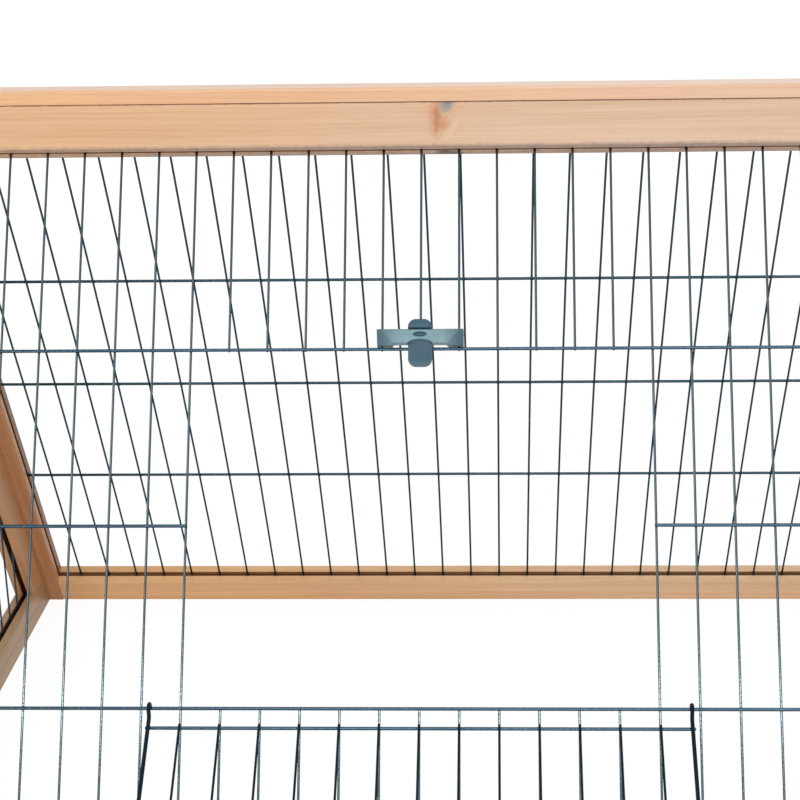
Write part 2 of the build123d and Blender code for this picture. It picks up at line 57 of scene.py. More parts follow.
# %% Small helpers for modelling
def choose(piece):
    """One piece selected and active, and nothing else."""
    bpy.ops.object.select_all(action="DESELECT")
    piece.select_set(True)
    bpy.context.view_layer.objects.active = piece


def open_edit(piece, kind="VERT"):
    """Edit mode with nothing selected. Gives the mesh that selections are made in."""
    choose(piece)
    bpy.ops.object.mode_set(mode="EDIT")
    bpy.ops.mesh.select_mode(type=kind)
    bpy.ops.mesh.select_all(action="DESELECT")
    return bmesh.from_edit_mesh(piece.data)


def close_edit():
    """Back to object mode."""
    bpy.ops.object.mode_set(mode="OBJECT")


def apply_place(piece):
    """Puts a piece's place, turn and size into its mesh."""
    choose(piece)
    bpy.ops.object.transform_apply(location=True, rotation=True, scale=True)


def apply_modifier(piece, kind, **settings):
    """Adds a modifier, sets it and applies it."""
    choose(piece)
    modifier = piece.modifiers.new(kind.lower(), kind)
    for key, value in settings.items():
        setattr(modifier, key, value)
    bpy.ops.object.modifier_apply(modifier=modifier.name)


def settle(piece, body, material, nodes):
    """Gives a finished piece its material and its body, and hides the CAD nodes that it stands for."""
    piece.data.materials.clear()
    piece.data.materials.append(material)
    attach(piece, body)
    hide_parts(*nodes)


print("helpers ready")

# %% [markdown]
# The front panel leans by 30 degrees. Its own frame has x along the ridge, y up the slope and z outward,
# with its origin on the apex line under the ridge cap. The latch is easier to model in that frame, and
# so is the door in a frame that lies on the hinge wire.

# %% Frames of the panel and the door
cap_low, cap_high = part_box("ridge_cap")
LEAN = math.radians(30.0)
APEX = Vector((0.0, (cap_low.y + cap_high.y) / 2, cap_low.z))
RIDGE_WAY = Vector((1, 0, 0))


def frame_of(origin, along, up, out):
    """The matrix from a piece's own frame to the run's frame."""
    turn = Matrix((along, up, out)).transposed().to_4x4()
    return Matrix.Translation(origin) @ turn


UP_SLOPE = Vector((0.0, math.sin(LEAN), math.cos(LEAN)))
OUTWARD = Vector((0.0, -math.cos(LEAN), math.sin(LEAN)))
PANEL = frame_of(APEX, RIDGE_WAY, UP_SLOPE, OUTWARD)


def box_in(node, place):
    """A CAD node's lowest and highest corners in a piece's own frame."""
    back = place.inverted()
    points = [back @ corner.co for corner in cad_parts[node].data.vertices]
    low = Vector([min(point[axis] for point in points) for axis in range(3)])
    high = Vector([max(point[axis] for point in points) for axis in range(3)])
    return low, high


print("apex line at", [round(value / MM, 2) for value in APEX])

# %% [markdown]
# ## Materials
# Colours are written as sRGB hex values, as a paint chart or a photo gives them, and one function turns
# them to the linear values that shaders use. One more function adds a node with its settings and links.
# Some inputs are named by their number. In a Mix node 0 is the factor, 2 and 3 are its two numbers and
# 6 and 7 its two colours. In a Map Range node 1 and 2 are the old limits, and 3 and 4 the new ones.

# %% Colour and node helpers
def linear(code):
    """Linear RGBA from an sRGB hex value."""
    channels = [int(code[place : place + 2], 16) / 255 for place in (1, 3, 5)]
    light = [c / 12.92 if c <= 0.04045 else ((c + 0.055) / 1.055) ** 2.4 for c in channels]
    return (*light, 1.0)


def add_node(tree, kind, inputs=None, **settings):
    """A node with its settings. Each input is a plain value, or an output to link from."""
    node = tree.nodes.new(kind)
    for key, value in settings.items():
        setattr(node, key, value)
    for key, value in (inputs or {}).items():
        if isinstance(value, bpy.types.NodeSocket):
            tree.links.new(value, node.inputs[key])
        else:
            node.inputs[key].default_value = value
    return node


def new_material(name):
    """An empty material with its principled shader."""
    material = bpy.data.materials.new(name)
    material.use_nodes = True
    shader = material.node_tree.nodes["Principled BSDF"]
    return material, material.node_tree, shader


print("white is", linear("#FFFFFF")[:3])

# %% [markdown]
# The strips are planed fir with a honey stain, wiped on and left with a dull sheen.
# Fir shows straight grain: growth rings about 3 mm apart that run along the strip, with short pores and
# fibres under a millimetre wide. The stain takes unevenly, so the tone drifts over hand widths.
# An image of wood could be wrapped on, but a solid pattern also gives the right rings on the ends. So
# rings, fibres and streaks are worked out from a point's place, where x runs along the strip.

# %% Figure of the wood
RING_GAP = 3.2 * MM
# One wave of the ring pattern is pi / 10 long at scale 1.
RING_SCALE = math.pi / 10 / RING_GAP
RING_SWAY = 9.0 * MM
# How many fit in a metre along the strip and across it, and their detail: slow bends of the rings,
# fibres 0.7 mm wide and some 50 mm long, streaks of stain 5 mm wide and some 250 mm long, and patches a
# few centimetres across, where the stain was wiped off more or less.
BENDS = (4.0, 28.0, 2.0)
FIBRES = (20.0, 1400.0, 4.0)
STREAKS = (4.0, 190.0, 3.0)
PATCHES = (14.0, 40.0, 2.0)


def fir_figure(tree, grain):
    """The wood's fine lines, its whole figure and its patches."""
    noises = []
    for along, across, detail in (BENDS, FIBRES, STREAKS, PATCHES):
        drawn_out = add_node(
            tree, "ShaderNodeMapping", {"Vector": grain, "Scale": (along, across, across)}
        )
        noise = add_node(
            tree, "ShaderNodeTexNoise", {"Vector": drawn_out.outputs[0], "Scale": 1.0, "Detail": detail}
        )
        noises.append(noise)
    bends, fibres, streaks, patches = noises
    drift = add_node(
        tree,
        "ShaderNodeVectorMath",
        {0: bends.outputs["Color"], 1: (0.0, RING_SWAY, RING_SWAY), 2: grain},
        operation="MULTIPLY_ADD",
    )
    rings = add_node(
        tree,
        "ShaderNodeTexWave",
        {"Vector": drift.outputs["Vector"], "Scale": RING_SCALE, "Distortion": 0.0},
        wave_type="RINGS",
        rings_direction="X",
        wave_profile="SAW",
    )
    lines = add_node(
        tree,
        "ShaderNodeMix",
        {0: 0.8, 2: rings.outputs["Fac"], 3: fibres.outputs["Fac"]},
        data_type="FLOAT",
    )
    figure = add_node(
        tree,
        "ShaderNodeMix",
        {0: 0.5, 2: lines.outputs[0], 3: streaks.outputs["Fac"]},
        data_type="FLOAT",
    )
    return lines.outputs[0], figure.outputs[0], patches.outputs["Fac"]


print("rings every", round(RING_GAP / MM, 1), "mm at wave scale", round(RING_SCALE, 1))

# %% [markdown]
# Knots, stains and some painted shade are marks on that grain. They could be painted on an image, but a
# mark that fades with the distance from one point needs none. A Mapping node of the texture kind brings
# that point to the origin, turned to its face and scaled to the mark's size, so that the mark's rim lies
# near 1 there. A blotchy noise of 3 or 4 mm makes the rim ragged.

# %% Marks on the wood
BLOTCH = 3.6 * MM
RAGGED = 0.8
RIM = 1.4


def add_marks(tree, place, colour, marks):
    """Lays marks over a colour, one after the other."""
    blotch = add_node(tree, "ShaderNodeTexNoise", {"Vector": place, "Scale": 1 / BLOTCH, "Detail": 3.0})
    for centre, turn_to_face, size, tint, strength, edge in marks:
        near = add_node(
            tree,
            "ShaderNodeMapping",
            {"Vector": place, "Location": centre, "Rotation": turn_to_face, "Scale": size},
            vector_type="TEXTURE",
        )
        reach = add_node(tree, "ShaderNodeVectorMath", {0: near.outputs[0]}, operation="LENGTH")
        ragged = add_node(
            tree,
            "ShaderNodeMath",
            {0: blotch.outputs["Fac"], 1: RAGGED, 2: reach.outputs["Value"]},
            operation="MULTIPLY_ADD",
        )
        inside = add_node(
            tree,
            "ShaderNodeMapRange",
            {"Value": ragged.outputs[0], 1: RIM, 2: RIM - edge, 4: strength},
            interpolation_type="SMOOTHSTEP",
        )
        marked = add_node(
            tree, "ShaderNodeMix", {0: inside.outputs[0], 6: colour, 7: linear(tint)}, data_type="RGBA"
        )
        colour = marked.outputs[2]
    return colour


print("marks are ragged by", round(BLOTCH / MM, 1), "mm blotches")

# %% [markdown]
# Now the wood is put together in Object coordinates, and a Mapping node turns them so that x runs along
# the strip. The figure mixes a pale and a deep tone. The stain is yellower towards one end of a strip,
# and end grain drinks more of it and turns darker. Raised fibres, a few hundredths of a millimetre high,
# catch the light, and the sheen is as uneven as the figure.

# %% Stained fir
WARM_STAIN = "#FFF1D9"
END_GRAIN = "#B98A60"


def stained_fir(name, turn, pale, deep, marks=()):
    """Planed and stained fir whose grain runs along the x axis of the turned coordinates."""
    material, tree, shader = new_material(name)
    place = add_node(tree, "ShaderNodeTexCoord")
    turned = add_node(tree, "ShaderNodeMapping", {"Vector": place.outputs["Object"], "Rotation": turn})
    grain = turned.outputs["Vector"]
    lines, figure, patches = fir_figure(tree, grain)
    depth = add_node(tree, "ShaderNodeMapRange", {"Value": figure, 1: 0.3, 2: 0.7})
    toned = add_node(
        tree, "ShaderNodeMix", {0: depth.outputs[0], 6: linear(pale), 7: linear(deep)}, data_type="RGBA"
    )
    length = add_node(tree, "ShaderNodeSeparateXYZ", {"Vector": grain})
    uneven = add_node(
        tree, "ShaderNodeMath", {0: patches, 1: 0.25, 2: length.outputs["X"]}, operation="MULTIPLY_ADD"
    )
    warmth = add_node(tree, "ShaderNodeMapRange", {"Value": uneven.outputs[0], 1: 0.08, 2: -0.32})
    stained = add_node(
        tree,
        "ShaderNodeMix",
        {0: warmth.outputs[0], 6: toned.outputs[2], 7: linear(WARM_STAIN)},
        data_type="RGBA",
        blend_type="MULTIPLY",
    )
    colour = stained.outputs[2]
    if marks:
        colour = add_marks(tree, place.outputs["Object"], colour, marks)
    # End grain: faces that look along the strip.
    facing = add_node(
        tree,
        "ShaderNodeMapping",
        {"Vector": place.outputs["Normal"], "Rotation": turn},
        vector_type="NORMAL",
    )
    parts = add_node(tree, "ShaderNodeSeparateXYZ", {"Vector": facing.outputs[0]})
    squareness = add_node(tree, "ShaderNodeMath", {0: parts.outputs["X"]}, operation="ABSOLUTE")
    cut = add_node(
        tree, "ShaderNodeMapRange", {"Value": squareness.outputs[0], 1: 0.75, 2: 0.95, 4: 0.8}
    )
    whole = add_node(
        tree,
        "ShaderNodeMix",
        {0: cut.outputs[0], 6: colour, 7: linear(END_GRAIN)},
        data_type="RGBA",
        blend_type="MULTIPLY",
    )
    sheen = add_node(tree, "ShaderNodeMapRange", {"Value": figure, 3: 0.3, 4: 0.52})
    relief = add_node(tree, "ShaderNodeBump", {"Height": lines, "Strength": 0.4, "Distance": 0.1 * MM})
    tree.links.new(whole.outputs[2], shader.inputs["Base Color"])
    tree.links.new(sheen.outputs[0], shader.inputs["Roughness"])
    tree.links.new(relief.outputs[0], shader.inputs["Normal"])
    shader.inputs["IOR"].default_value = 1.5
    shader.inputs["Specular IOR Level"].default_value = 0.25
    shader.inputs["Coat Roughness"].default_value = 0.3
    return material


# How the run's frame is turned so that x runs along a strip.
ALONG_RIDGE = (0.0, 0.0, 0.0)
UP_FRONT = (LEAN, math.radians(90), 0.0)
UP_BACK = (-LEAN, math.radians(90), 0.0)
ACROSS = (0.0, 0.0, math.radians(-90))
print("stain", WARM_STAIN, "end grain", END_GRAIN)

# %% [markdown]
# Every strip is the same timber, but no two are one tone, and some tones also carry painted light: the
# back stiles are set darker as painted shade, and the rails paler as painted light. The ridge cap took
# the stain more orange, and the front rail has a knot just under the cap, so these two get a wood of
# their own. A knot is a grey heart with a reddish streak of resin beside it and a pale swirl of grain
# below.
# Each of these marks is placed by its centre, turned to its face and sized in millimetres across and
# down that face.

# %% Knots and stains of this run
FRONT = 1
BACK = -1
# A panel's face is tilted by 60 degrees from level, and half the timber's thickness from its middle.
FACE_TILT = math.radians(60)
FACE_OUT = 8.75


def on_panel(x, slope, out, panel):
    """A point of a panel from millimetres along the ridge, down the slope and outward."""
    point = PANEL @ Vector((x * MM, -slope * MM, out * MM))
    point.y = APEX.y + panel * (point.y - APEX.y)
    return point


def mark(x, slope, wide, tall, lean, tint, strength, edge, out=FACE_OUT, depth=9, panel=FRONT):
    """A mark on a panel: where, how large, how it leans, its colour, strength and soft edge."""
    slant = Matrix.Rotation(panel * FACE_TILT, 3, "X")
    tilt = slant @ Matrix.Rotation(math.radians(lean), 3, "Z")
    size = (wide * MM, tall * MM, depth * MM)
    return on_panel(x, slope, out, panel), tilt.to_euler(), size, tint, strength, edge


# The rail's last marks are a dark line along its seam with the cap, painted shadow of the gap there, a
# painted shade over its under side, and the knot's other end, which comes out behind the groove there.
rail_knot_and_painted_shade = [
    mark(-186, 17, 20, 19, 0, "#D9A27E", 0.5, 1.0),
    mark(-189.5, 17, 8.5, 21, -4, "#CB9068", 0.75, 1.0),
    mark(-185, 21, 9.5, 7, 0, "#CC9568", 0.6, 1.0),
    mark(-189.3, 15, 3.4, 15, -3, "#B9765A", 0.7, 1.0),
    mark(-179, 23, 4.4, 13, -30, "#EACFA8", 0.5, 1.0),
    mark(-183, 9, 7.5, 10, 0, "#CDB592", 0.85, 0.9),
    mark(-183, 7, 5.6, 8.2, 0, "#A39A92", 0.95, 0.6),
    mark(-183.5, 5, 3.4, 7.6, 8, "#8C8684", 0.6, 0.9),
    mark(-182, 5.5, 2.4, 2.6, 0, "#6C6468", 0.7, 0.8),
    # Painted shadow line along the seam with the cap.
    mark(-100, 5.2, 900, 0.9, 0, "#7A4C3A", 0.85, 0.7),
    # Painted shade over the rail's under side.
    mark(-100, 36.8, 900, 3.8, 0, "#9B8377", 0.75, 1.0, depth=90),
    mark(-182, 36, 14, 3, 0, "#4E4C48", 0.9, 0.6, out=-6, depth=6.5),
]
low_knot = [
    mark(214, 557, 12, 6, 0, "#BC8358", 0.7, 0.9),
    mark(214, 557, 5.5, 3.8, 0, "#94806A", 0.9, 0.5),
]
stile_knot = [
    mark(560, 330, 5, 12, 0, "#B97F54", 0.7, 0.9),
    mark(560, 330, 3.4, 5.2, 0, "#94806A", 0.9, 0.5),
]
# Painted shade on the lip behind the groove of each back stile, which lies in shade.
STILE_LIP = 545
painted_shade_stile_lips = [
    mark(x, 290, 2, 2000, 0, "#5E4A48", 0.95, 1.0, out=6.5, depth=6.5, panel=BACK)
    for x in (-STILE_LIP, STILE_LIP)
]
print("marks", len(rail_knot_and_painted_shade) + len(low_knot) + len(stile_knot) + len(painted_shade_stile_lips))

# %% [markdown]
# The woods are named for their strips. Only the cap got a clear lacquer, which pales what is seen at a
# flat angle. Each way that a strip can lie also has a much darker wood for its grooves: partly stain
# that ran in and was never wiped out, and partly painted shade of the groove.

# %% The woods of this run
wood = {
    "cap": stained_fir("stained_fir_cap", ALONG_RIDGE, "#F0CCAC", "#E2B08C"),
    "rail": stained_fir("stained_fir_front_rail", ALONG_RIDGE, "#E7C8B0", "#D5AF90", rail_knot_and_painted_shade),
    # Paler tones: painted light for the shaded inside of the back rails.
    "rails": stained_fir("stained_fir_rails_painted_light", ALONG_RIDGE, "#F8D2AC", "#E3B588", low_knot),
    "front": stained_fir("stained_fir_front_stiles", UP_FRONT, "#E2BC9A", "#CC9C74", stile_knot),
    # Darker tones: partly painted shade of the back stiles' shaded inner sides.
    "back": stained_fir("stained_fir_back_stiles_painted_shade", UP_BACK, "#D9A576", "#BA8056", painted_shade_stile_lips),
    "base": stained_fir("stained_fir_base_rails", ACROSS, "#C4A076", "#AA825A"),
}
wood["cap"].node_tree.nodes["Principled BSDF"].inputs["Coat Weight"].default_value = 0.9
along_groove_stain_and_shade = stained_fir("stained_and_shaded_fir_rail_grooves", ALONG_RIDGE, "#B48E6E", "#966C50")
groove_stain_and_shade = {
    "cap": along_groove_stain_and_shade,
    "rail": along_groove_stain_and_shade,
    "rails": along_groove_stain_and_shade,
    "front": stained_fir("stained_and_shaded_fir_front_grooves", UP_FRONT, "#7A563E", "#553A2A"),
    "back": stained_fir("stained_and_shaded_fir_back_grooves", UP_BACK, "#6A4A36", "#463024"),
    "base": stained_fir("stained_and_shaded_fir_base_grooves", ACROSS, "#6A4A36", "#463024"),
}
print("woods:", ", ".join(material.name for material in wood.values()))

# %% [markdown]
# ## Timber strips
# Each strip is sawn, planed, grooved with a cutter, and its long edges are rubbed down with sandpaper.
# It could be built from a cube, but its grooves, stub tenons and screw holes are already right in the
# CAD node. So a copy of that node is joined up into whole faces, and only its long edges are rounded:
# sawn ends stay crisp, and joints stay tight. The faces of a groove are those along a long inner corner.

# %% How a strip is finished
LONG_EDGE = 100 * MM
SHARP = math.radians(25)
SAME_POINT = 0.002 * MM


def copy_node(node, name):
    """A free copy of a CAD node, with its loose triangles joined into whole faces."""
    piece = bpy.data.objects.new(name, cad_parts[node].data.copy())
    bpy.context.scene.collection.objects.link(piece)
    open_edit(piece)
    bpy.ops.mesh.customdata_custom_splitnormals_clear()
    bpy.ops.mesh.select_all(action="SELECT")
    bpy.ops.mesh.remove_doubles(threshold=SAME_POINT)
    bpy.ops.mesh.dissolve_limited(angle_limit=math.radians(0.5))
    close_edit()
    return piece


def round_long_edges(piece, width):
    """Rounds the long outer edges."""
    mesh = open_edit(piece, "EDGE")
    rounded = 0
    for edge in mesh.edges:
        if edge.is_manifold and edge.calc_length() > LONG_EDGE:
            if edge.calc_face_angle_signed() > SHARP:
                edge.select_set(True)
                rounded += 1
    bmesh.update_edit_mesh(piece.data)
    bpy.ops.mesh.bevel(offset=width, segments=2, affect="EDGES", clamp_overlap=False)
    close_edit()
    return rounded


def darken_grooves(piece, material):
    """Gives the faces that meet in a long inner corner a darker material of their own, partly painted
    shade.
    """
    piece.data.materials.append(material)
    mesh = open_edit(piece, "FACE")
    stained = 0
    for face in mesh.faces:
        for edge in face.edges:
            if edge.is_manifold and edge.calc_length() > LONG_EDGE:
                if edge.calc_face_angle_signed() < -SHARP:
                    face.material_index = 1
        stained += face.material_index
    bmesh.update_edit_mesh(piece.data)
    close_edit()
    return stained


print("edges over", round(LONG_EDGE / MM), "mm count as long")

# %% [markdown]
# Fifteen strips make the frame, and each takes the wood of its kind. The cap's upper edges are already
# planed off in the CAD node, so they are rounded less.

# %% Plane the strips
strips = {
    "ridge_cap": "cap",
    "front_top_rail": "rail",
    "front_bottom_rail": "rails",
    "back_top_rail": "rails",
    "back_bottom_rail": "rails",
    "front_left_stile": "front",
    "front_right_stile": "front",
    "back_left_stile": "back",
    "back_right_stile": "back",
    "left_end_base_rail": "base",
    "right_end_base_rail": "base",
    "left_end_front_stile": "front",
    "right_end_front_stile": "front",
    "left_end_back_stile": "back",
    "right_end_back_stile": "back",
}
CAP_ROUNDING = 0.4 * MM
STRIP_ROUNDING = 0.8 * MM
rounded_edges = 0
darkened_groove_faces = 0
for node, kind in strips.items():
    strip = copy_node(node, node + "_planed")
    rounding = CAP_ROUNDING if kind == "cap" else STRIP_ROUNDING
    rounded_edges += round_long_edges(strip, rounding)
    bpy.ops.object.shade_flat()
    settle(strip, "frame", wood[kind], [node])
    # The groove faces get the darker wood: stain and painted shade.
    darkened_groove_faces += darken_grooves(strip, groove_stain_and_shade[kind])
print("strips", len(strips), "rounded edges", rounded_edges, "groove faces", darkened_groove_faces)

# %% [markdown]
# ## Coated wire
# The mesh is drawn steel wire, welded into a grid and then coated in slate grey. The coat is thin and
# holds fine metal flake, so each wire has a pale core, dark edges and a glint where a lamp meets it. A
# Metallic of 1 does this: the Base Color tints the core, and the dark Specular Tint takes over at the
# edges. The coat also has a faint orange peel. Its grain is about 0.4 mm, finer than a pixel from afar,
# so it is drawn at 1.2 mm. There are four coats, which are one coat in four tones: the front uprights
# are the palest, as painted light; the cross wires in front are bluer; the back and the ends are deeper,
# as painted shade of their shaded inner sides; and the door's frame and ribs are nearly black with no
# flake, as a painted reflection of a dark room.

# %% Coat for the wires
COAT_PATCH = 40 * MM
ORANGE_PEEL = 1.2 * MM
EDGE_TINT = "#2A3A44"


def coated_steel(name, pale, deep, roughness, metal):
    """Steel wire under a thin coat of colour, with or without metal flake in it."""
    material, tree, shader = new_material(name)
    place = add_node(tree, "ShaderNodeTexCoord").outputs["Object"]
    patch = add_node(
        tree, "ShaderNodeTexNoise", {"Vector": place, "Scale": 1 / COAT_PATCH, "Detail": 3.0}
    )
    tint = add_node(
        tree,
        "ShaderNodeMix",
        {0: patch.outputs["Fac"], 6: linear(pale), 7: linear(deep)},
        data_type="RGBA",
    )
    peel = add_node(
        tree, "ShaderNodeTexNoise", {"Vector": place, "Scale": 1 / ORANGE_PEEL, "Detail": 1.0}
    )
    gloss = add_node(
        tree,
        "ShaderNodeMapRange",
        {"Value": peel.outputs["Fac"], 1: 0.3, 2: 0.7, 3: roughness - 0.04, 4: roughness + 0.06},
    )
    relief = add_node(
        tree, "ShaderNodeBump", {"Height": peel.outputs["Fac"], "Strength": 0.07, "Distance": 0.1 * MM}
    )
    tree.links.new(tint.outputs[2], shader.inputs["Base Color"])
    tree.links.new(gloss.outputs[0], shader.inputs["Roughness"])
    tree.links.new(relief.outputs[0], shader.inputs["Normal"])
    shader.inputs["Metallic"].default_value = metal
    shader.inputs["IOR"].default_value = 1.5
    shader.inputs["Specular IOR Level"].default_value = 0.1
    shader.inputs["Specular Tint"].default_value = linear(EDGE_TINT)
    return material


# The pale front coat is painted light, the deep coat painted shade, and the dark door coat a painted
# reflection of a dark room.
pale_lit_coat = coated_steel("slate_coated_steel", "#59686D", "#425156", 0.12, 1.0)
cross_coat = coated_steel("blue_slate_coated_steel", "#48606F", "#344957", 0.12, 1.0)
shade_coat = coated_steel("deep_slate_coated_steel_painted_shade", "#3A4E58", "#2B3D47", 0.2, 1.0)
door_coat_dark_reflection = coated_steel("dark_coated_steel_painted_reflection", "#22313A", "#141F26", 0.32, 0.0)
print("coats:", pale_lit_coat.name, cross_coat.name, shade_coat.name, door_coat_dark_reflection.name)

# %% [markdown]
# A straight wire is cut to length by shears, and the coat rounds its ends. A curve with a round bevel
# would also do, but its ends stay sharp. So one wire of each thickness is modelled as a cylinder whose
# end rings are bevelled, to be copied to each place.

# %% Model one wire
ROD_LENGTH = 100 * MM
ROD_SIDES = 12
END_ROUNDING = 0.2


def make_rod(name, diameter):
    """One wire along z from the origin, with rounded ends."""
    bpy.ops.mesh.primitive_cylinder_add(
        vertices=ROD_SIDES, radius=diameter / 2, depth=ROD_LENGTH, location=(0, 0, ROD_LENGTH / 2)
    )
    rod = bpy.context.object
    rod.name = name
    apply_place(rod)
    mesh = open_edit(rod, "EDGE")
    for edge in mesh.edges:
        level = abs(edge.verts[0].co.z - edge.verts[1].co.z) < 0.01 * MM
        edge.select_set(level)
    bmesh.update_edit_mesh(rod.data)
    bpy.ops.mesh.bevel(offset=diameter * END_ROUNDING, segments=1, affect="EDGES")
    close_edit()
    return rod


thin_rod = make_rod("thin_rod", 1.6 * MM)
thick_rod = make_rod("thick_rod", 2.2 * MM)
print("rod faces", len(thin_rod.data.polygons))

# %% [markdown]
# A wire's two ends are read from the CAD node, so that the copies stand exactly where its solids are.
# Scaling a copy would stretch its rounded end, so only the far end is moved out.

# %% Read the wires' places and lay copies
def islands_of(node):
    """The corner points of each separate solid in a CAD node."""
    mesh = bmesh.new()
    mesh.from_mesh(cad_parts[node].data)
    bmesh.ops.remove_doubles(mesh, verts=mesh.verts, dist=SAME_POINT)
    seen = set()
    islands = []
    for first in mesh.verts:
        if first in seen:
            continue
        seen.add(first)
        waiting = [first]
        points = []
        while waiting:
            corner = waiting.pop()
            points.append(corner.co.copy())
            for edge in corner.link_edges:
                other = edge.other_vert(corner)
                if other not in seen:
                    seen.add(other)
                    waiting.append(other)
        islands.append(points)
    mesh.free()
    return islands


def middle_of(points):
    """The mean of some points."""
    return sum(points, Vector()) / len(points)


def wire_ends(points):
    """The middles of a straight wire's two ends."""
    far = max(points, key=lambda point: (point - points[0]).length)
    near = max(points, key=lambda point: (point - far).length)
    halfway = (near + far) / 2
    run = far - near
    start = [point for point in points if (point - halfway).dot(run) < 0]
    end = [point for point in points if (point - halfway).dot(run) >= 0]
    return middle_of(start), middle_of(end)


def copy_of(master):
    """A copy of a piece with a mesh of its own."""
    piece = master.copy()
    piece.data = master.data.copy()
    bpy.context.scene.collection.objects.link(piece)
    return piece


def lay_wire(rod, start, end):
    """A copy of the rod from start to end."""
    piece = copy_of(rod)
    longer = (end - start).length - ROD_LENGTH
    for corner in piece.data.vertices:
        if corner.co.z > ROD_LENGTH / 2:
            corner.co.z += longer
    turn = (end - start).to_track_quat("Z", "Y").to_matrix().to_4x4()
    piece.data.transform(Matrix.Translation(start) @ turn)
    return piece


print("front uprights", len(islands_of("front_uprights")))

# %% [markdown]
# Where two wires cross they are welded: a current is passed while they are pressed together, the steel
# melts a little and squeezes out. So each crossing has a small lump in its four corners. It is modelled
# once, from a sphere pressed flat on both sides, and copied to every crossing. There are hundreds, so
# it has only a few dozen faces.

# %% Model one weld and find the crossings
WELD_RADIUS = 0.8 * MM
SPREAD = 1.55
# What lies further than this from the middle is pressed flat.
PRESSED = 0.55 * MM
TOUCHING = 2.8 * MM
# How far past its end a wire still counts as crossed, as a share of its length.
END_SLACK = 0.01


def make_weld(name):
    """A lump 2.5 mm across, pressed flat above and below."""
    bpy.ops.mesh.primitive_uv_sphere_add(
        segments=8, ring_count=5, radius=WELD_RADIUS, location=(0, 0, 0)
    )
    weld = bpy.context.object
    weld.name = name
    mesh = open_edit(weld)
    bpy.ops.mesh.select_all(action="SELECT")
    bpy.ops.transform.resize(value=(SPREAD, SPREAD, 1.0))
    bpy.ops.mesh.select_all(action="DESELECT")
    for corner in mesh.verts:
        corner.select_set(abs(corner.co.z) > PRESSED)
    mesh.select_flush_mode()
    bmesh.update_edit_mesh(weld.data)
    bpy.ops.transform.resize(value=(1.2, 1.2, 0.8))
    close_edit()
    return weld


def crossing(first, second):
    """Where two straight wires touch, the way from one to the other and along, or nothing."""
    along = first[1] - first[0]
    over = second[1] - second[0]
    square = along.cross(over)
    if square.length < 1e-9:
        return None
    gap = second[0] - first[0]
    shares = [gap.cross(way).dot(square) / square.length_squared for way in (over, along)]
    if not all(-END_SLACK < share < 1 + END_SLACK for share in shares):
        return None
    here = first[0] + along * shares[0]
    there = second[0] + over * shares[1]
    if (there - here).length > TOUCHING:
        return None
    return (here + there) / 2, (there - here).normalized(), over.normalized()


def lay_weld(weld, place, out, along):
    """A copy of the weld with its flat sides against the two wires."""
    piece = copy_of(weld)
    piece.data.transform(frame_of(place, along, out.cross(along), out))
    return piece


weld_lump = make_weld("weld_lump")
print("weld faces", len(weld_lump.data.polygons))

# %% [markdown]
# The wires of each group become one piece for each CAD node. The welds join the cross wires, so they go
# with those. Sides are shaded smooth and the rounded ends keep their edge, by the angle between faces.

# %% Lay the mesh of the panels and the ends
def join(pieces, name):
    """Pieces made one object."""
    bpy.ops.object.select_all(action="DESELECT")
    for piece in pieces:
        piece.select_set(True)
    bpy.context.view_layer.objects.active = pieces[0]
    if len(pieces) > 1:
        bpy.ops.object.join()
    pieces[0].name = name
    return pieces[0]


def smooth(piece, degrees):
    """Shades a piece smooth, but not over edges that are sharper than an angle."""
    choose(piece)
    bpy.ops.object.shade_smooth_by_angle(angle=math.radians(degrees))


def lay_group(name, body, rod, node, material, extra=()):
    """All the wires of one CAD node as one piece."""
    pieces = [lay_wire(rod, *wire_ends(points)) for points in islands_of(node)]
    group = join(pieces + list(extra), name)
    smooth(group, 40)
    settle(group, body, material, [node])


def welds_between(uprights, crosses):
    """A weld at every crossing of two CAD nodes' wires."""
    standing = [wire_ends(points) for points in islands_of(uprights)]
    lying = [wire_ends(points) for points in islands_of(crosses)]
    places = [crossing(first, second) for first in standing for second in lying]
    return [lay_weld(weld_lump, *place) for place in places if place]


weld_count = 0
for side in ("front", "back", "left_end", "right_end"):
    standing, lying = side + "_uprights", side + "_cross_wires"
    # The front gets the paler coats, and the back and the ends get the coat with painted shade.
    stand_coat, lie_coat = (pale_lit_coat, cross_coat) if side == "front" else (shade_coat, shade_coat)
    welds = welds_between(standing, lying)
    weld_count += len(welds)
    lay_group(side + "_standing_wires", "frame", thin_rod, standing, stand_coat)
    lay_group(side + "_lying_wires", "frame", thick_rod, lying, lie_coat, welds)
hinge_welds = welds_between("front_uprights", "hinge_wire")
weld_count += len(hinge_welds)
lay_group("hinge_rod", "frame", thick_rod, "hinge_wire", cross_coat, hinge_welds)
print("welds", weld_count)

# %% [markdown]
# ## The door
# Its outer frame is one wire, 2.6 mm thick, bent cold: a hook over the hinge wire, a small bend, a
# side, a corner, and the free edge. A bevelled curve could follow that line, but bending is the clearer
# way: one ring of points is spun about each bend's centre and extruded along each straight. Half of it
# is bent so, and a Mirror modifier makes the other half.

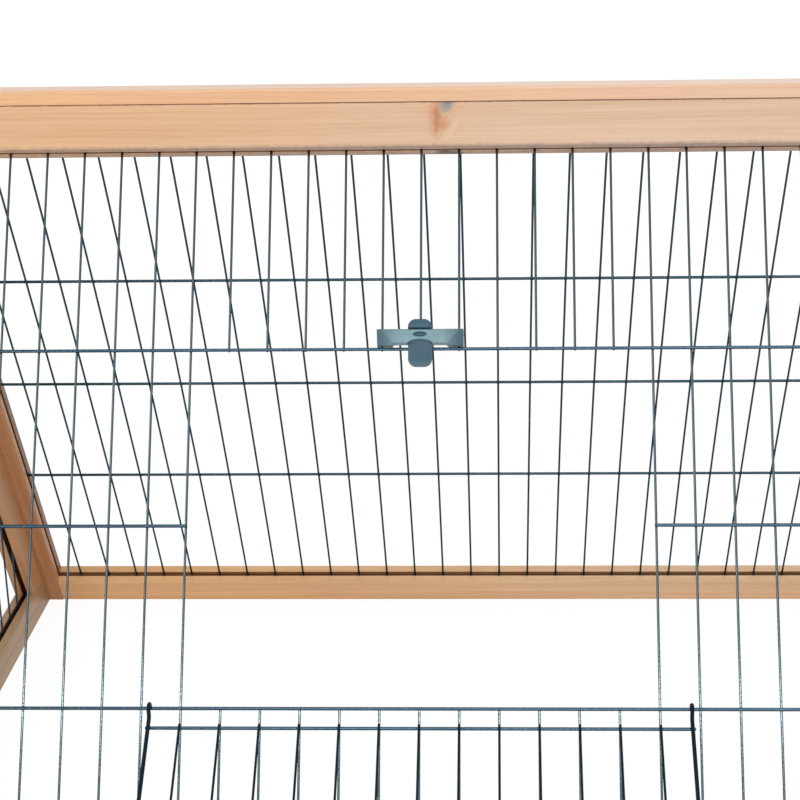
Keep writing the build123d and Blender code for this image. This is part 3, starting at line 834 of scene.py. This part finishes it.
# %% Bend the door frame
hinge_low, hinge_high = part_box("hinge_wire")
loop_low, loop_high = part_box("door_frame")
HINGE = (hinge_low + hinge_high) / 2
HINGE.x = (loop_low.x + loop_high.x) / 2
rib_ends = sorted(wire_ends(islands_of("door_uprights")[0]), key=lambda point: -point.z)
TO_FREE_EDGE = (rib_ends[1] - rib_ends[0]).normalized()
DOOR_SIDE = RIDGE_WAY.cross(TO_FREE_EDGE)
DOOR = frame_of(HINGE, RIDGE_WAY, TO_FREE_EDGE, DOOR_SIDE)
loop_low, loop_high = box_in("door_frame", DOOR)
LOOP_WIRE = 2.6 * MM
SIDE_X = loop_low.x + LOOP_WIRE / 2
FREE_EDGE = loop_high.y - LOOP_WIRE / 2
HOOK_RADIUS = 2.7 * MM
LOOP_OUT = 2.7 * MM
SMALL_BEND = 4.0 * MM
CORNER_BEND = 9.0 * MM
RIM_ROUNDING = 0.5 * MM


def bend(centre, axis, angle, steps):
    """Spins the selected ring. With no window, spin turns against the right-hand rule."""
    bpy.ops.mesh.spin(steps=steps, angle=math.radians(-angle), center=centre, axis=axis)


def draw_out(step):
    """Pulls the selected ring out straight."""
    bpy.ops.mesh.extrude_region_move(TRANSFORM_OT_translate={"value": step})


# The hook starts 130 degrees round the hinge wire, turns by 200 and leaves it at -30, heading 60
# degrees outward.
tip = math.radians(130)
leave = math.radians(-30)
heading = math.radians(60)
bpy.ops.mesh.primitive_circle_add(
    vertices=14,
    radius=LOOP_WIRE / 2,
    location=(SIDE_X, HOOK_RADIUS * math.cos(tip), HOOK_RADIUS * math.sin(tip)),
    rotation=(tip, 0, 0),
)
loop = bpy.context.object
apply_place(loop)
open_edit(loop)
bpy.ops.mesh.select_all(action="SELECT")
bend((SIDE_X, 0, 0), (1, 0, 0), 200, 16)
slant = (LOOP_OUT - HOOK_RADIUS * math.sin(leave)) / math.sin(heading)
straight = slant - SMALL_BEND * math.tan(heading / 2)
draw_out((0, straight * math.cos(heading), straight * math.sin(heading)))
bend_y = HOOK_RADIUS * math.cos(leave) + straight * math.cos(heading) + SMALL_BEND * math.sin(heading)
bend((SIDE_X, bend_y, LOOP_OUT - SMALL_BEND), (1, 0, 0), -60, 6)
draw_out((0, FREE_EDGE - CORNER_BEND - bend_y, 0))
bend((SIDE_X + CORNER_BEND, FREE_EDGE - CORNER_BEND, 0), (0, 0, 1), -90, 8)
draw_out((-SIDE_X - CORNER_BEND, 0, 0))
close_edit()
reach = max(corner.co.y for corner in loop.data.vertices)
print("free edge at", round(reach / MM, 2), "mm, CAD", round(loop_high.y / MM, 2))

# %% [markdown]
# The mirrored half meets the first at the middle of the free edge. The two cut ends of the hooks are
# closed, their rims are bevelled as the coat rounds them, and the normals are made to point outward.

# %% Mirror the door frame and close its ends
apply_modifier(loop, "MIRROR", use_axis=(True, False, False), merge_threshold=0.01 * MM)
open_edit(loop, "EDGE")
bpy.ops.mesh.select_all(action="SELECT")
bpy.ops.mesh.fill_holes(sides=0)
bpy.ops.mesh.normals_make_consistent(inside=False)
bpy.ops.mesh.select_all(action="DESELECT")
mesh = bmesh.from_edit_mesh(loop.data)
# The tube's own faces have four corners, so the closed ends are those with more.
caps = [face for face in mesh.faces if len(face.verts) > 4]
for face in caps:
    for edge in face.edges:
        edge.select_set(True)
bmesh.update_edit_mesh(loop.data)
bpy.ops.mesh.bevel(offset=RIM_ROUNDING, segments=2, affect="EDGES")
close_edit()
loop.data.transform(DOOR)
loop.name = "door_loop"
smooth(loop, 40)
settle(loop, "door", door_coat_dark_reflection, ["door_frame"])
print("door frame faces", len(loop.data.polygons), "closed ends", len(caps))

# %% [markdown]
# The door's ribs and cross wires are copies of the same two rods. Its welds sit where ribs and sides
# cross the cross wires, and where each rib is butted to the free edge.

# %% Lay the door's wires
door_welds = welds_between("door_uprights", "door_cross_wires")
for side in (-1, 1):
    side_wire = [DOOR @ Vector((side * SIDE_X, y, LOOP_OUT)) for y in (bend_y, FREE_EDGE)]
    for points in islands_of("door_cross_wires"):
        meeting = crossing(side_wire, wire_ends(points))
        door_welds.append(lay_weld(weld_lump, *meeting))
for points in islands_of("door_uprights"):
    foot = min(wire_ends(points), key=lambda point: point.z)
    door_welds.append(lay_weld(weld_lump, foot, DOOR_SIDE, RIDGE_WAY))
lay_group("door_ribs", "door", thin_rod, "door_uprights", door_coat_dark_reflection)
lay_group("door_bars", "door", thick_rod, "door_cross_wires", cross_coat, door_welds)
for master in (thin_rod, thick_rod, weld_lump):
    bpy.data.objects.remove(master)
print("door welds", len(door_welds))

# %% [markdown]
# ## The drop latch
# A guide and a tab, moulded in slate coloured nylon. The mould gives a satin skin with a fine even
# grain, about 0.3 mm, drawn here at 0.6 mm so that it shows. The colour drifts a little at random, and
# it is deeper at the guide's ends, as painted shade of their sloping end facets.

# %% Moulded nylon
latch_low, latch_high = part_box("latch_guide")
LATCH_X = (latch_low.x + latch_high.x) / 2
MELT_FLOW = 9 * MM
MOULD_GRAIN = 0.6 * MM


def moulded_nylon(name, pale, deep, ends):
    """Satin moulded plastic, deeper in colour far from the middle of the latch, as painted shade of its
    ends.
    """
    material, tree, shader = new_material(name)
    place = add_node(tree, "ShaderNodeTexCoord").outputs["Object"]
    flow = add_node(tree, "ShaderNodeTexNoise", {"Vector": place, "Scale": 1 / MELT_FLOW, "Detail": 2.0})
    tint = add_node(
        tree,
        "ShaderNodeMix",
        {0: flow.outputs["Fac"], 6: linear(pale), 7: linear(deep)},
        data_type="RGBA",
    )
    way = add_node(tree, "ShaderNodeSeparateXYZ", {"Vector": place})
    offset = add_node(tree, "ShaderNodeMath", {0: way.outputs["X"], 1: LATCH_X}, operation="SUBTRACT")
    off_middle = add_node(tree, "ShaderNodeMath", {0: offset.outputs[0]}, operation="ABSOLUTE")
    painted_end_shade = add_node(tree, "ShaderNodeMapRange", {"Value": off_middle.outputs[0], 1: 14 * MM, 2: 25 * MM})
    tone = add_node(
        tree,
        "ShaderNodeMix",
        {0: painted_end_shade.outputs[0], 6: tint.outputs[2], 7: linear(ends)},
        data_type="RGBA",
    )
    skin = add_node(
        tree, "ShaderNodeTexNoise", {"Vector": place, "Scale": 1 / MOULD_GRAIN, "Detail": 1.0}
    )
    gloss = add_node(
        tree, "ShaderNodeMapRange", {"Value": skin.outputs["Fac"], 1: 0.3, 2: 0.7, 3: 0.32, 4: 0.46}
    )
    relief = add_node(
        tree, "ShaderNodeBump", {"Height": skin.outputs["Fac"], "Strength": 0.25, "Distance": 0.06 * MM}
    )
    tree.links.new(tone.outputs[2], shader.inputs["Base Color"])
    tree.links.new(gloss.outputs[0], shader.inputs["Roughness"])
    tree.links.new(relief.outputs[0], shader.inputs["Normal"])
    shader.inputs["IOR"].default_value = 1.53
    return material


guide_nylon = moulded_nylon("slate_nylon", "#86A4AB", "#6F8D97", "#4C6B79")
# The tab is the same nylon as the guide, set deeper as painted shade.
shaded_tab_nylon = moulded_nylon("deep_slate_nylon_painted_shade", "#315969", "#234758", "#234758")
print("plastics:", guide_nylon.name, shaded_tab_nylon.name)

# %% [markdown]
# The guide is a bridge whose two legs clip on upright wires. Its face falls away to the lower corners,
# and an arch in its outer wall lets the tab through. All that comes from the CAD node. A shallow oval
# dimple above the arch is left by the mould: it is cut here with a squashed sphere. A Bevel modifier
# then softens every edge, as moulded plastic has no sharp ones. The dimple's faces are found by their
# place and get the tab's deeper colour, as painted shade in the hollow.

# %% Mould the latch guide
SOFT_EDGE = 0.4 * MM
# The dimple's half width, half height and half depth in millimetres, and its middle over the foot.
# The painted shade stops just short of its two ends.
DIMPLE = (4.6, 1.7, 1.8)
DIMPLE_UP = 6.2 * MM
DIMPLE_OUT = 0.3 * MM
SHADED_DIMPLE = (4.5, 1.7)
SHADE_DEPTH = 2 * MM
guide = copy_node("latch_guide", "latch_bridge")
guide_low, guide_high = box_in("latch_guide", PANEL)
guide_x = (guide_low.x + guide_high.x) / 2
dimple_y = guide_low.y + DIMPLE_UP
bpy.ops.mesh.primitive_uv_sphere_add(
    segments=32,
    ring_count=16,
    radius=1 * MM,
    location=(guide_x, dimple_y, guide_high.z + DIMPLE_OUT),
    scale=DIMPLE,
)
cutter = bpy.context.object
apply_place(cutter)
cutter.data.transform(PANEL)
apply_modifier(guide, "BOOLEAN", operation="DIFFERENCE", object=cutter, solver="EXACT")
bpy.data.objects.remove(cutter)
apply_modifier(
    guide, "BEVEL", width=SOFT_EDGE, segments=3, limit_method="ANGLE", angle_limit=math.radians(36)
)
smooth(guide, 38)
settle(guide, "frame", guide_nylon, ["latch_guide"])
guide.data.materials.append(shaded_tab_nylon)
mesh = open_edit(guide, "FACE")
back = PANEL.inverted()
shaded_dimple_faces = 0
for face in mesh.faces:
    spot = back @ face.calc_center_median()
    across = (spot.x - guide_x) / (SHADED_DIMPLE[0] * MM)
    along = (spot.y - dimple_y) / (SHADED_DIMPLE[1] * MM)
    if across**2 + along**2 < 1 and spot.z > guide_high.z - SHADE_DEPTH:
        face.material_index = 1
        shaded_dimple_faces += 1
bmesh.update_edit_mesh(guide.data)
close_edit()
print("guide faces", len(guide.data.polygons), "in the dimple", shaded_dimple_faces)

# %% [markdown]
# The tab is one flat moulding with round corners, a thumb lip on top and two small stop nibs behind its
# tip. Its shape is right in the CAD node, so a copy only gets soft edges.

# %% Mould the latch tab
tab = copy_node("latch_slide", "latch_tab")
apply_modifier(
    tab, "BEVEL", width=SOFT_EDGE, segments=3, limit_method="ANGLE", angle_limit=math.radians(48)
)
smooth(tab, 38)
settle(tab, "latch_slide", shaded_tab_nylon, ["latch_slide"])
print("tab faces", len(tab.data.polygons))

# %% [markdown]
# ## Screws
# Countersunk wood screws hold the frame together: a flat cone head with a cross recess on a plain
# shank. They are steel with a pale yellow zinc finish, so their colour comes from reflection, and fine
# scuffs from the driver make the gloss uneven.

# %% Zinc plated steel
SCUFF = 0.8 * MM
zinc, zinc_tree, zinc_shader = new_material("zinc_plated_steel")
zinc_place = add_node(zinc_tree, "ShaderNodeTexCoord")
scuff = add_node(
    zinc_tree,
    "ShaderNodeTexNoise",
    {"Vector": zinc_place.outputs["Object"], "Scale": 1 / SCUFF, "Detail": 3.0},
)
zinc_tint = add_node(
    zinc_tree,
    "ShaderNodeMix",
    {0: scuff.outputs["Fac"], 6: linear("#CDBE96"), 7: linear("#A8A08C")},
    data_type="RGBA",
)
zinc_gloss = add_node(zinc_tree, "ShaderNodeMapRange", {"Value": scuff.outputs["Fac"], 3: 0.22, 4: 0.5})
zinc_tree.links.new(zinc_tint.outputs[2], zinc_shader.inputs["Base Color"])
zinc_tree.links.new(zinc_gloss.outputs[0], zinc_shader.inputs["Roughness"])
zinc_shader.inputs["Metallic"].default_value = 1.0
print("finish:", zinc.name)

# %% [markdown]
# One screw is modelled with its head at the origin, pointing down: a short cylinder whose lower ring is
# drawn in to a cone and extruded to a shank and a point. The cross recess is cut by two crossed blocks
# that taper. A screw's thread is deep in the wood and never seen, so the shank stays plain.

# %% Model one screw
HEAD = 8.0 * MM
SHANK = 4.0 * MM
NECK = -(HEAD - SHANK) / 2
SHORT_SCREW = 33.5 * MM
POINT = 3 * MM
POINT_TAPER = (0.2, 0.2, 1)
RECESS = (4.6 * MM, 1.0 * MM, 3.0 * MM)
RECESS_TAPER = (0.45, 0.45, 1)


def pick_underside(piece):
    """Edit mode with the faces that look down selected."""
    mesh = open_edit(piece, "FACE")
    for face in mesh.faces:
        face.select_set(face.normal.z < -0.9)
    bmesh.update_edit_mesh(piece.data)


bpy.ops.mesh.primitive_cylinder_add(
    vertices=24, radius=HEAD / 2, depth=-NECK, location=(0, 0, NECK / 2)
)
screw = bpy.context.object
screw.name = "wood_screw"
apply_place(screw)
pick_underside(screw)
bpy.ops.transform.resize(value=(SHANK / HEAD, SHANK / HEAD, 1))
draw_out((0, 0, POINT - SHORT_SCREW - NECK))
draw_out((0, 0, -POINT))
bpy.ops.transform.resize(value=POINT_TAPER)
close_edit()
for turn in (0, math.radians(90)):
    bpy.ops.mesh.primitive_cube_add(size=1, location=(0, 0, 0), rotation=(0, 0, turn))
    blade = bpy.context.object
    blade.scale = RECESS
    apply_place(blade)
    pick_underside(blade)
    bpy.ops.transform.resize(value=RECESS_TAPER)
    close_edit()
    apply_modifier(screw, "BOOLEAN", operation="DIFFERENCE", object=blade, solver="EXACT")
    bpy.data.objects.remove(blade)
print("screw faces", len(screw.data.polygons))

# %% [markdown]
# A copy goes to each CAD screw. The CAD screw's point is where its corners crowd together, and that
# gives the way it is driven. A longer screw only has its shank drawn out, so that every head stays the
# same.

# %% Drive the screws
CROWD = 1 * MM


def screw_place(points):
    """A CAD screw's head, the way that it points and its length."""
    heart = middle_of(points)
    ends = sorted(points, key=lambda point: -(point - heart).length)
    point_end = max(ends, key=lambda p: sum((q - p).length < CROWD for q in points))
    cluster = [point for point in points if (point - point_end).length < CROWD]
    way = (middle_of(cluster) - heart).normalized()
    steps = [(point - heart).dot(way) for point in points]
    return heart + way * min(steps), way, max(steps) - min(steps)


def drive_screw(head, way, length):
    """A copy of the screw, driven in flush."""
    piece = copy_of(screw)
    for corner in piece.data.vertices:
        if corner.co.z < NECK * 2:
            corner.co.z -= length - SHORT_SCREW
    turn = way.to_track_quat("-Z", "Y").to_matrix().to_4x4()
    piece.data.transform(Matrix.Translation(head) @ turn)
    return piece


for node in ("corner_screws", "end_frame_screws"):
    driven = [drive_screw(*screw_place(points)) for points in islands_of(node)]
    group = join(driven, node + "_driven")
    smooth(group, 30)
    settle(group, "frame", zinc, [node])
    print(node, len(driven))
bpy.data.objects.remove(screw)

# %% [markdown]
# ## Studio
# The object stands on a plain pale floor. To the camera the floor near the object is part white glow and
# part dull paint, so it still shows the shadow. Further off it is all glow, as lamps would not reach
# there. The Light Path node tells the camera's rays and reflections from the light that falls on the
# object, so that the glow adds no light to it.

# %% Floor
FLOOR_SIZE = 14
NEAR = 0.9
FAR = 2.2
bpy.ops.mesh.primitive_plane_add(size=FLOOR_SIZE, location=(0, 0, 0))
floor = bpy.context.object
floor.name = "studio_floor"
floor_paint = bpy.data.materials.new("pale_floor")
floor_paint.use_nodes = True
floor_tree = floor_paint.node_tree
floor_tree.nodes.clear()
rays = add_node(floor_tree, "ShaderNodeLightPath")
paint = add_node(floor_tree, "ShaderNodeBsdfDiffuse", {"Color": linear("#F2F2F2")})
glow = add_node(floor_tree, "ShaderNodeEmission", {"Color": (1, 1, 1, 1), "Strength": 1.06})
floor_place = add_node(floor_tree, "ShaderNodeTexCoord").outputs["Object"]
away = add_node(floor_tree, "ShaderNodeVectorMath", {0: floor_place}, operation="LENGTH")
glow_share = add_node(
    floor_tree, "ShaderNodeMapRange", {"Value": away.outputs["Value"], 1: NEAR, 2: FAR, 3: 0.88}
)
seen = add_node(
    floor_tree,
    "ShaderNodeMath",
    {0: rays.outputs["Is Camera Ray"], 1: glow_share.outputs[0]},
    operation="MULTIPLY",
)
shine = add_node(
    floor_tree,
    "ShaderNodeMath",
    {0: rays.outputs["Is Glossy Ray"], 1: rays.outputs["Is Transmission Ray"]},
    operation="MAXIMUM",
)
share = add_node(
    floor_tree, "ShaderNodeMath", {0: seen.outputs[0], 1: shine.outputs[0]}, operation="MAXIMUM"
)
mixed = add_node(
    floor_tree, "ShaderNodeMixShader", {0: share.outputs[0], 1: paint.outputs[0], 2: glow.outputs[0]}
)
add_node(floor_tree, "ShaderNodeOutputMaterial", {"Surface": mixed.outputs[0]})
floor.data.materials.append(floor_paint)
print("floor", FLOOR_SIZE, "m wide")

# %% [markdown]
# The surroundings are white to the camera and in reflections, and a soft light of less than half that to
# all else. A photo of the sky could be used, but a plain white gives the plain background.

# %% Surroundings
world = bpy.data.worlds.new("studio")
bpy.context.scene.world = world
world.use_nodes = True
sky_tree = world.node_tree
sky_tree.nodes.clear()
sky_rays = add_node(sky_tree, "ShaderNodeLightPath")
soft_light = add_node(sky_tree, "ShaderNodeBackground", {"Color": linear("#F4F7FA"), "Strength": 0.42})
white = add_node(sky_tree, "ShaderNodeBackground", {"Color": (1, 1, 1, 1), "Strength": 1.0})
in_view = add_node(
    sky_tree,
    "ShaderNodeMath",
    {0: sky_rays.outputs["Is Camera Ray"], 1: sky_rays.outputs["Is Glossy Ray"]},
    operation="MAXIMUM",
)
any_view = add_node(
    sky_tree,
    "ShaderNodeMath",
    {0: in_view.outputs[0], 1: sky_rays.outputs["Is Transmission Ray"]},
    operation="MAXIMUM",
)
sky = add_node(
    sky_tree,
    "ShaderNodeMixShader",
    {0: any_view.outputs[0], 1: soft_light.outputs[0], 2: white.outputs[0]},
)
add_node(sky_tree, "ShaderNodeOutputWorld", {"Surface": sky.outputs[0]})
print("surroundings:", world.name)

# %% [markdown]
# A long narrow softbox hangs over the camera, as in a product photo: it draws a bright line on every
# wire. A lamp on the left leaves the right side of wires and strips darker, and one overhead lights the
# top of the cap. A wide one further off in front reaches the inside, and one behind fills the back.

# %% Lamps
def add_lamp(name, place, target, size, power):
    """A soft lamp, so wide and so high, that faces a point."""
    bpy.ops.object.light_add(type="AREA", location=place)
    lamp = bpy.context.object
    lamp.name = name
    lamp.data.shape = "RECTANGLE"
    lamp.data.size, lamp.data.size_y = size
    lamp.data.energy = power
    lamp.rotation_euler = (Vector(target) - Vector(place)).to_track_quat("-Z", "Y").to_euler()


add_lamp("front_softbox", (-0.15, -1.9, 1.22), (-0.15, -0.1, 0.25), (2.2, 0.06), 10)
add_lamp("side_lamp", (-1.9, -1.6, 1.6), (-0.2, 0, 0.3), (0.8, 0.8), 11)
add_lamp("low_lamp", (0.2, -2.7, 1.0), (-0.1, 0, 0.3), (1.8, 0.8), 13)
add_lamp("back_lamp", (0.6, 2.1, 2.3), (0, 0.1, 0.25), (1.6, 0.8), 8)
add_lamp("top_lamp", (-0.1, -0.3, 2.4), (-0.1, 0, 0.4), (1.4, 1.0), 7)

# %% [markdown]
# ## Camera
# The photo is a close crop from a little above the ridge. The camera was worked out from the wires:
# their places are known from the CAD model, and seven numbers were fitted to where they lie in the
# photo. The photo was cropped off centre, so the lens is shifted by a twenty-fifth of the frame.

# %% Camera
CAMERA_PLACE = Vector((-149.0, -1159.3, 701.9)) * MM
FOCAL_PIXELS = 1813.0
PICTURE_PIXELS = 800
SENSOR = 36.0
bpy.ops.object.camera_add(location=(0, 0, 0))
camera = bpy.context.object
yaw = math.radians(-2.255)
pitch = math.radians(19.012)
roll = math.radians(0.991)
level = Vector((math.sin(yaw), math.cos(yaw), 0))
ahead = level * math.cos(pitch) - Vector((0, 0, math.sin(pitch)))
right = Vector((math.cos(yaw), -math.sin(yaw), 0))
down = ahead.cross(right)
rolled_right = right * math.cos(roll) + down * math.sin(roll)
rolled_down = down * math.cos(roll) - right * math.sin(roll)
camera.matrix_world = frame_of(CAMERA_PLACE, rolled_right, -rolled_down, -ahead)
camera.data.sensor_width = SENSOR
camera.data.lens = SENSOR * FOCAL_PIXELS / PICTURE_PIXELS
camera.data.shift_x = -0.04
camera.data.clip_start = 0.01
bpy.context.scene.camera = camera
bpy.context.scene.view_settings.view_transform = "Standard"
print("lens", round(camera.data.lens, 2), "mm")
